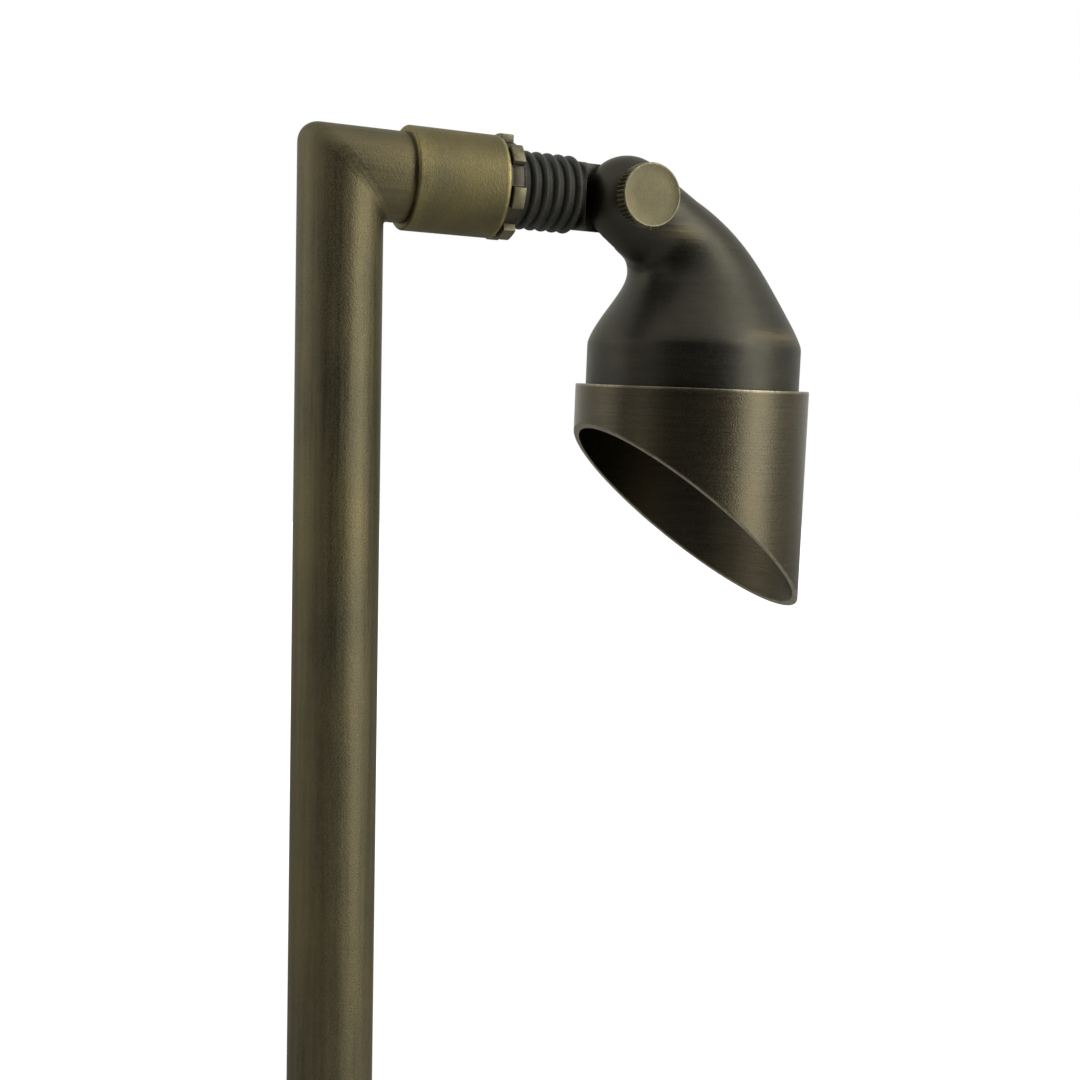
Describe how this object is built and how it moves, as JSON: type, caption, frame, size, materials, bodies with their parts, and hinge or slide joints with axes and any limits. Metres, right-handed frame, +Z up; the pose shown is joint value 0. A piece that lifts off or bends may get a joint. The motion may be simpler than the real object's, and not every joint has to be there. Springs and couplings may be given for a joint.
{
  "type": "hooded directional path light",
  "caption": "Hooded directional path light: a round post with a mitred arm, a lock-nut swivel, a half-lap knuckle with thumbscrew and a swan-neck head with a slant-cut shroud.",
  "frame": {"origin": "centre of the shoulder where the post's lower end meets its threaded base nipple", "axes": "+Z up along the post, +X along the arm towards the head, the thumbscrew on the -Y side"},
  "size_m": [0.1518, 0.0697, 0.4775],
  "materials": {
    "post_brass": "aged, brushed",
    "dark_bronze": "aged dark, satin",
    "light_brass": "aged light, satin",
    "rubber": "matte",
    "lens_glass": "clear",
    "reflector": "bright",
    "lamp_chip": "matte",
    "ceramic": "matte",
    "steel": "plain"
  },
  "bodies": {
    "post_body": {"post": "post_brass", "arm": "post_brass", "base_nipple": "dark_bronze", "wire_grommet": "rubber", "coupling": "light_brass", "coupling_seal": "rubber"},
    "swivel": {"swivel_shank": "dark_bronze", "ribbed_sleeve": "rubber", "friction_washer": "rubber"},
    "nut": {"lock_nut": "light_brass"},
    "screw": {"thumbscrew": "light_brass"},
    "head": {"housing": "dark_bronze", "thumbscrew_washer": "light_brass", "barrel_ring": "rubber", "lamp_reflector": "reflector", "lamp_chip": "lamp_chip", "lamp_base": "ceramic", "lamp_pins": "steel", "lamp_socket": "ceramic", "socket_strap": "steel", "strap_screws": "steel", "socket_leads": "rubber"},
    "lens_pack": {"lens": "lens_glass", "lens_gasket": "rubber", "lens_ring": "dark_bronze"},
    "hood": {"shroud": "post_brass"}
  },
  "joints": [
    {"name": "swivel_turn", "type": "hinge", "parent": "post_body", "child": "swivel", "pos_m": [0.0811, 0, 0.4459], "axis": [1, 0, 0], "range_deg": [-170, 170]},
    {"name": "lock_nut_turn", "type": "hinge", "parent": "swivel", "child": "nut", "pos_m": [0.0811, 0, 0.4459], "axis": [1, 0, 0], "continuous": true},
    {"name": "tilt", "type": "hinge", "parent": "swivel", "child": "head", "pos_m": [0.0811, 0, 0.4459], "axis": [0, -0.9972, -0.075], "range_deg": [-35, 90]},
    {"name": "thumbscrew_turn", "type": "hinge", "parent": "swivel", "child": "screw", "pos_m": [0.0811, 0, 0.4459], "axis": [0, -0.9972, -0.075], "continuous": true},
    {"name": "shroud_pull", "type": "slide", "parent": "head", "child": "lens_pack", "axis": [0.0105, 0.075, -0.9971], "range_m": [0, 0.03]},
    {"name": "shroud_turn", "type": "hinge", "parent": "lens_pack", "child": "hood", "pos_m": [0.106, -0.00002, 0.44616], "axis": [0.0105, 0.075, -0.9971], "continuous": true}
  ]
}
